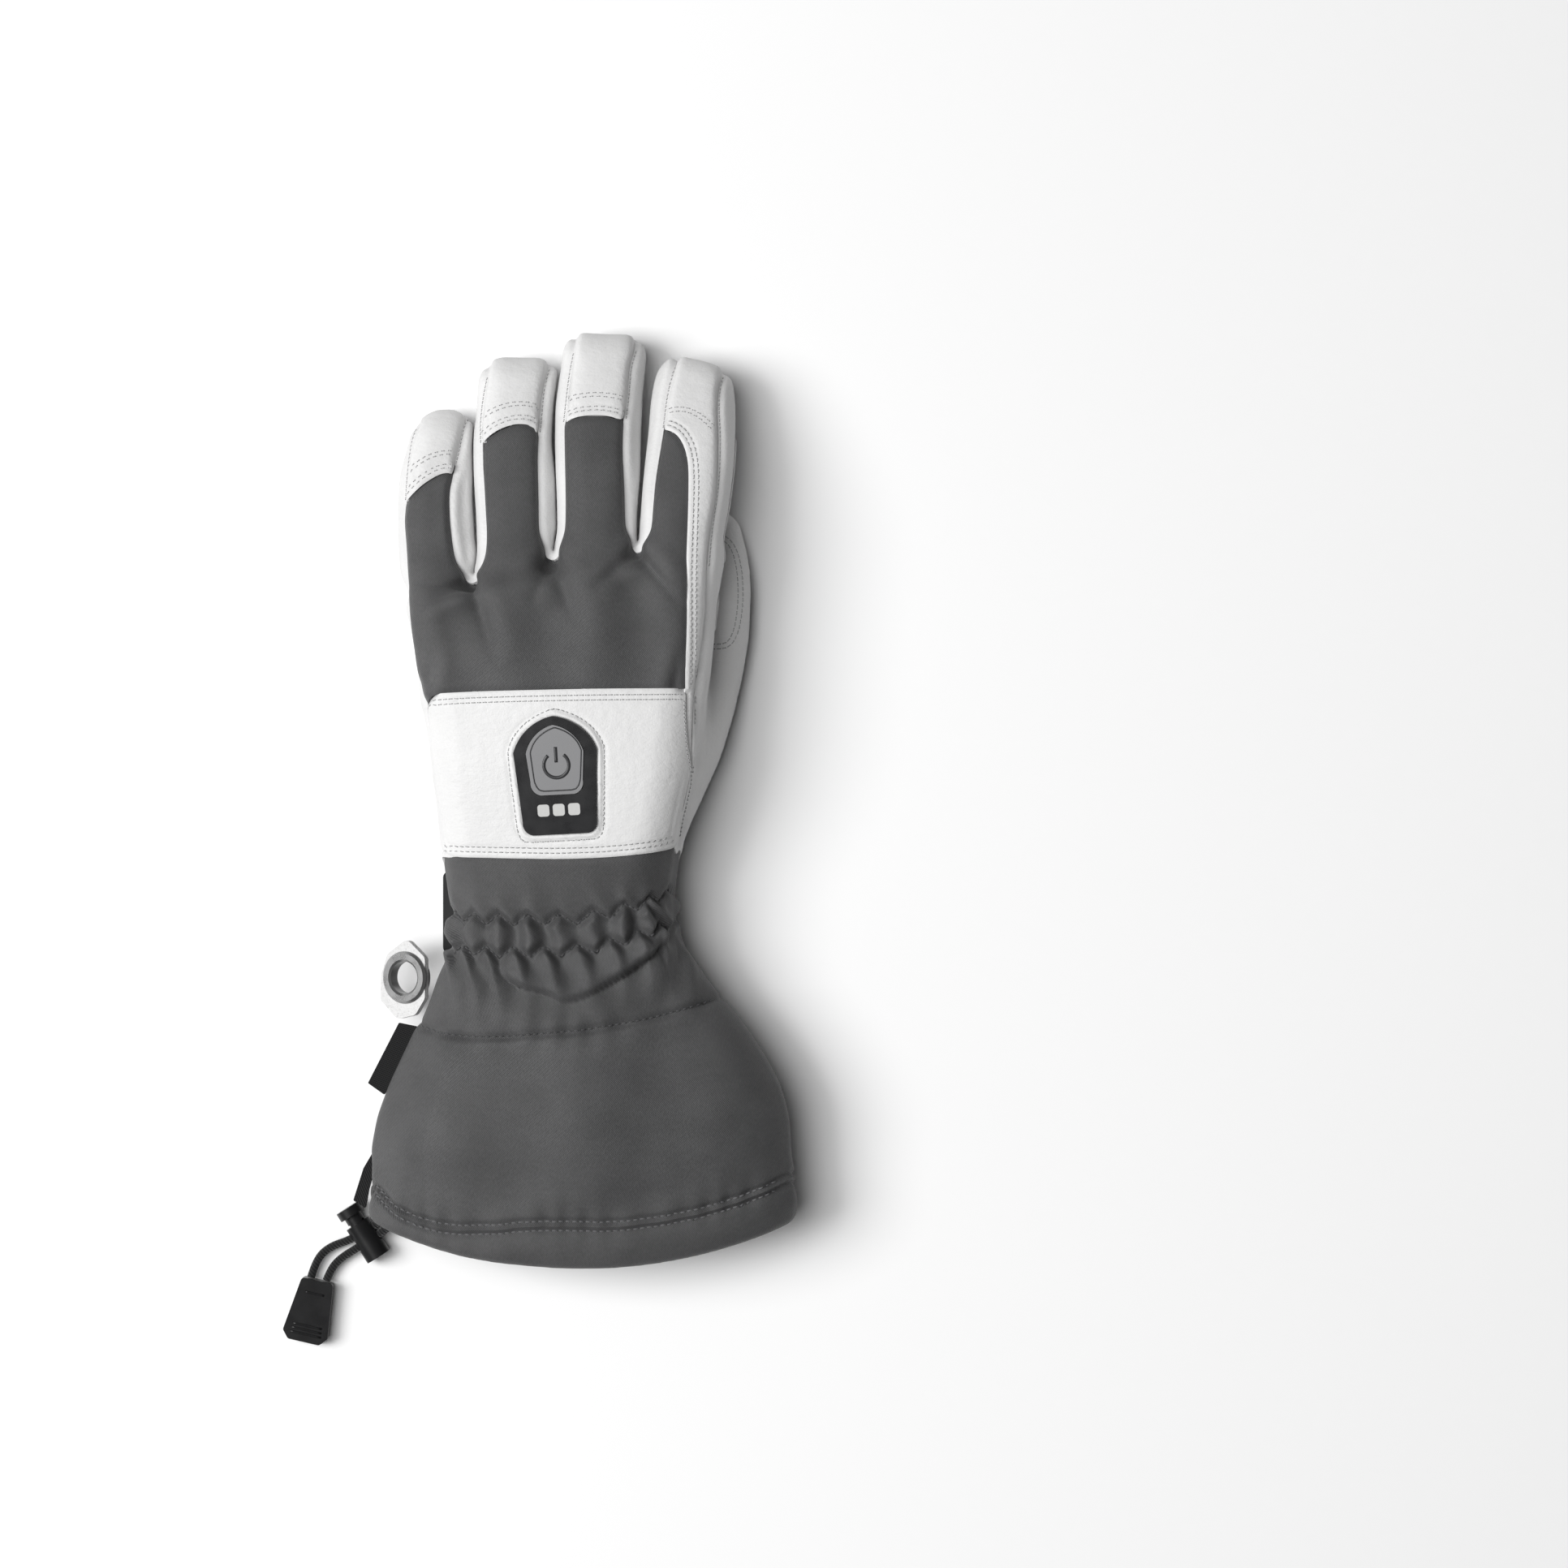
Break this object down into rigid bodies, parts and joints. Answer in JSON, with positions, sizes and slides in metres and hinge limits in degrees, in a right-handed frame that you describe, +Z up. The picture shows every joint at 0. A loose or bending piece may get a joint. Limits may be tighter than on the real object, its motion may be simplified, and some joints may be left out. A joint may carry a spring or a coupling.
{
  "type": "ski glove",
  "caption": "Left-hand heated gauntlet ski glove: grey softshell and white leather, with wrist strap, drawcord cuff, cord lock, eyelet tab and heater control.",
  "frame": {"origin": "on the supporting surface, below the centre of the glove without its drawcord", "axes": "+X towards the thumb side, +Y towards the fingertips, +Z up out of the back of the hand"},
  "size_m": [0.1924, 0.3779, 0.0587],
  "materials": {
    "softshell_fabric": "dark grey twill softshell",
    "white_leather": "smooth white goat leather",
    "lining_fleece": "dark brushed lining",
    "insulation": "quilted polyester insulation",
    "black_webbing": "ribbed webbing",
    "black_plastic": "satin moulded",
    "badge_face": "matt grey print",
    "light_window": "translucent smoked",
    "black_rubber": "moulded soft rubber",
    "eyelet_metal": "satin gunmetal",
    "elastic_cord": "braided elastic",
    "woven_label": "woven ribbon",
    "heating_wire": "thin insulated wire",
    "circuit_board": "solder mask",
    "battery_case": "matt moulded",
    "spring_steel": "drawn wire"
  },
  "bodies": {
    "hand": {"back_panel": "softshell_fabric", "battery_lead": "heating_wire", "battery_pack": "battery_case", "battery_pocket": "lining_fleece", "body_lining": "lining_fleece", "controller_board": "circuit_board", "controller_housing": "black_plastic", "controller_lights": "light_window", "cuff_hem": "softshell_fabric", "cuff_shell": "softshell_fabric", "drawcord_lower": "elastic_cord", "drawcord_upper": "elastic_cord", "end_pull": "black_rubber", "gather_elastics": "elastic_cord", "hand_heater": "heating_wire", "hand_insulation": "insulation", "hem_drawcord": "elastic_cord", "index_side_strip": "white_leather", "knuckle_band": "white_leather", "lock_barrel": "black_plastic", "lock_ribbon": "black_webbing", "lock_spring": "spring_steel", "palm_panel": "white_leather", "palm_patch": "white_leather", "side_label": "woven_label", "strap_ring": "black_plastic", "strap_sewn_webbing": "black_webbing", "wrist_gusset": "softshell_fabric"},
    "index_finger": {"index_back": "softshell_fabric", "index_tip_cap": "white_leather", "index_palm": "white_leather", "index_liner": "lining_fleece", "index_heater": "heating_wire"},
    "middle_finger": {"middle_back": "softshell_fabric", "middle_tip_cap": "white_leather", "middle_palm": "white_leather", "middle_liner": "lining_fleece", "middle_heater": "heating_wire"},
    "ring_finger": {"ring_back": "softshell_fabric", "ring_tip_cap": "white_leather", "ring_palm": "white_leather", "ring_liner": "lining_fleece", "ring_heater": "heating_wire"},
    "little_finger": {"little_back": "softshell_fabric", "little_tip_cap": "white_leather", "little_palm": "white_leather", "little_liner": "lining_fleece", "little_heater": "heating_wire"},
    "thumb": {"thumb_fabric": "softshell_fabric", "thumb_leather": "white_leather", "thumb_liner": "lining_fleece", "thumb_heater": "heating_wire"},
    "power_button": {"controller_button": "badge_face"},
    "lock_button": {"lock_plunger": "black_plastic"},
    "strap": {"strap_flap": "black_webbing", "strap_hook_tape": "black_webbing", "strap_end_tab": "black_rubber"},
    "eyelet_flap": {"eyelet_tab": "white_leather", "eyelet_front": "eyelet_metal", "eyelet_back": "eyelet_metal"}
  },
  "joints": [
    {"name": "index_flex", "type": "hinge", "parent": "hand", "child": "index_finger", "pos_m": [0.0416, 0.109, 0.0208], "axis": [-1, 0, 0], "range_deg": [0, 55], "stiffness_Nm_per_rad": 0.15},
    {"name": "middle_flex", "type": "hinge", "parent": "hand", "child": "middle_finger", "pos_m": [0.009, 0.109, 0.0163], "axis": [-1, 0, 0], "range_deg": [0, 55], "stiffness_Nm_per_rad": 0.15},
    {"name": "ring_flex", "type": "hinge", "parent": "hand", "child": "ring_finger", "pos_m": [-0.0225, 0.107, 0.0118], "axis": [-1, 0, 0], "range_deg": [0, 55], "stiffness_Nm_per_rad": 0.15},
    {"name": "little_flex", "type": "hinge", "parent": "hand", "child": "little_finger", "pos_m": [-0.0514, 0.099, 0.0078], "axis": [-1, 0, 0], "range_deg": [0, 55], "stiffness_Nm_per_rad": 0.15},
    {"name": "thumb_swing", "type": "hinge", "parent": "hand", "child": "thumb", "pos_m": [0.0613, 0.046, 0.008], "axis": [0, 0, -1], "range_deg": [0, 35], "stiffness_Nm_per_rad": 0.1},
    {"name": "power_press", "type": "slide", "parent": "hand", "child": "power_button", "axis": [0.1383, 0.1132, -0.9839], "range_m": [0, 0.0008], "stiffness_N_per_m": 1500},
    {"name": "lock_press", "type": "slide", "parent": "hand", "child": "lock_button", "axis": [0.5387, -0.8425, 0], "range_m": [0, 0.0016], "stiffness_N_per_m": 900, "deforming": ["lock_spring"]},
    {"name": "strap_peel", "type": "hinge", "parent": "hand", "child": "strap", "pos_m": [0.0153, -0.0425, 0.003], "axis": [0, -1, 0], "range_deg": [0, 110]},
    {"name": "eyelet_swing", "type": "hinge", "parent": "hand", "child": "eyelet_flap", "pos_m": [-0.0536, -0.0663, 0.0236], "axis": [0, 1, 0], "range_deg": [-25, 25], "stiffness_Nm_per_rad": 0.02}
  ]
}
